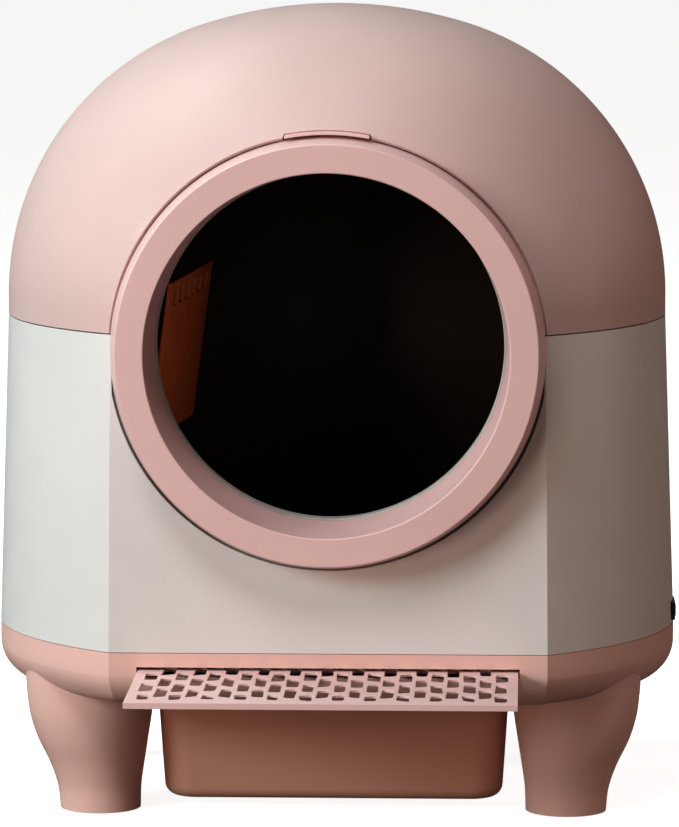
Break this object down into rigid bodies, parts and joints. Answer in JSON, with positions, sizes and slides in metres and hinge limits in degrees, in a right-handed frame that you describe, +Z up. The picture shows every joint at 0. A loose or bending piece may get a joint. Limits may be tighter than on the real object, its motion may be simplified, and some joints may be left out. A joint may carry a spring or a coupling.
{
  "type": "hooded cat litter box",
  "caption": "Self-cleaning cat litter box with a hinged dome hood, a turning round drum behind a wide entry ring, a perforated step and a pull-out waste bin on tapered legs.",
  "frame": {"origin": "on the floor, below the middle of the footprint with the step pulled out", "axes": "+Z up, -Y out of the entry, +X to the right of someone facing the entry"},
  "size_m": [0.5212, 0.596, 0.608],
  "materials": {
    "shell_pink": "satin, very fine spark texture",
    "trim_pink": "satin, very fine spark texture",
    "base_pink": "satin, very fine spark texture",
    "bin_pink": "satin, very fine spark texture",
    "housing_white": "satin, fine spark texture",
    "drum_dark": "satin, dark inner wall",
    "lip_grey": "satin",
    "sieve_orange": "satin",
    "liner_rubber": "matte silicone",
    "foot_rubber": "matte",
    "frame_grey": "fine moulded texture",
    "gear_white": "smooth acetal",
    "steel": "zinc plated",
    "button_black": "semi gloss",
    "board_green": "solder mask",
    "lens_dark": "smooth infrared window"
  },
  "bodies": {
    "root": {"base_pan": "base_pink", "board_posts": "frame_grey", "button_bezel": "button_black", "button_switch": "button_black", "carrier_screws": "steel", "chute_seal": "foot_rubber", "control_board": "board_green", "cradle_front": "frame_grey", "cradle_rear": "frame_grey", "cradle_screws": "steel", "drawer_rail_left": "frame_grey", "drawer_rail_right": "frame_grey", "drive_motor": "steel", "entry_ring": "trim_pink", "foot_pads": "foot_rubber", "hinge_brackets": "housing_white", "hinge_pins": "steel", "housing": "housing_white", "leg_front_left": "base_pink", "leg_front_right": "base_pink", "leg_rear_left": "base_pink", "leg_rear_right": "base_pink", "leg_screws": "steel", "motor_bracket": "frame_grey", "motor_screws": "steel", "power_inlet": "button_black", "rear_spindle": "frame_grey", "ring_carrier": "frame_grey", "ring_screws": "steel", "ring_sensors": "lens_dark", "roller_axles": "steel", "step_rail_left": "frame_grey", "step_rail_right": "frame_grey", "waste_chute": "frame_grey"},
    "hood": {"hood": "shell_pink", "hood_hinges": "shell_pink"},
    "latch": {"hood_latch": "trim_pink"},
    "drum": {"drum_shell_front": "drum_dark", "drum_shell_rear": "drum_dark", "clamp_band": "drum_dark", "port_frame": "drum_dark", "drum_lip": "lip_grey", "litter_liner": "liner_rubber", "sieve_screen": "sieve_orange", "drum_gear": "gear_white", "roller_track_front": "frame_grey", "roller_track_rear": "frame_grey", "drum_hub": "frame_grey"},
    "pinion": {"drive_pinion": "gear_white"},
    "roller_front_left": {"roller_front_left": "foot_rubber"},
    "roller_front_right": {"roller_front_right": "foot_rubber"},
    "roller_rear_left": {"roller_rear_left": "foot_rubber"},
    "roller_rear_right": {"roller_rear_right": "foot_rubber"},
    "drawer": {"waste_bin": "bin_pink", "bag_frame": "frame_grey"},
    "step": {"step_plate": "trim_pink", "step_runner_left": "trim_pink", "step_runner_right": "trim_pink"},
    "button": {"side_button": "button_black"}
  },
  "joints": [
    {"name": "hood_hinge", "type": "hinge", "parent": "root", "child": "hood", "pos_m": [0, 0.293, 0.372], "axis": [-1, 0, 0], "range_deg": [0, 75]},
    {"name": "hood_latch_press", "type": "slide", "parent": "hood", "child": "latch", "axis": [0, 1, 0], "range_m": [0, 0.003], "stiffness_N_per_m": 300},
    {"name": "drum_spin", "type": "hinge", "parent": "root", "child": "drum", "pos_m": [0, 0.044, 0.359], "axis": [0, 1, 0], "continuous": true},
    {"name": "pinion_spin", "type": "hinge", "parent": "root", "child": "pinion", "pos_m": [0.1029, 0.186, 0.21204], "axis": [0, 1, 0], "continuous": true},
    {"name": "drawer_slide", "type": "slide", "parent": "root", "child": "drawer", "axis": [0, -1, 0], "range_m": [0, 0.25]},
    {"name": "step_slide", "type": "slide", "parent": "root", "child": "step", "axis": [0, 1, 0], "range_m": [0, 0.12]},
    {"name": "button_press", "type": "slide", "parent": "root", "child": "button", "axis": [-1, 0, 0], "range_m": [0, 0.0012], "stiffness_N_per_m": 400},
    {"name": "roller_front_left_spin", "type": "hinge", "parent": "root", "child": "roller_front_left", "pos_m": [-0.11202, -0.06, 0.19902], "axis": [0, 1, 0], "continuous": true},
    {"name": "roller_front_right_spin", "type": "hinge", "parent": "root", "child": "roller_front_right", "pos_m": [0.11202, -0.06, 0.19902], "axis": [0, 1, 0], "continuous": true},
    {"name": "roller_rear_left_spin", "type": "hinge", "parent": "root", "child": "roller_rear_left", "pos_m": [-0.11202, 0.148, 0.19902], "axis": [0, 1, 0], "continuous": true},
    {"name": "roller_rear_right_spin", "type": "hinge", "parent": "root", "child": "roller_rear_right", "pos_m": [0.11202, 0.148, 0.19902], "axis": [0, 1, 0], "continuous": true}
  ],
  "couplings": [
    {"joint": "pinion_spin", "follows": "drum_spin", "ratio": -8.3333},
    {"joint": "roller_front_left_spin", "follows": "drum_spin", "ratio": -15.25},
    {"joint": "roller_front_right_spin", "follows": "drum_spin", "ratio": -15.25},
    {"joint": "roller_rear_left_spin", "follows": "drum_spin", "ratio": -15.25},
    {"joint": "roller_rear_right_spin", "follows": "drum_spin", "ratio": -15.25}
  ]
}
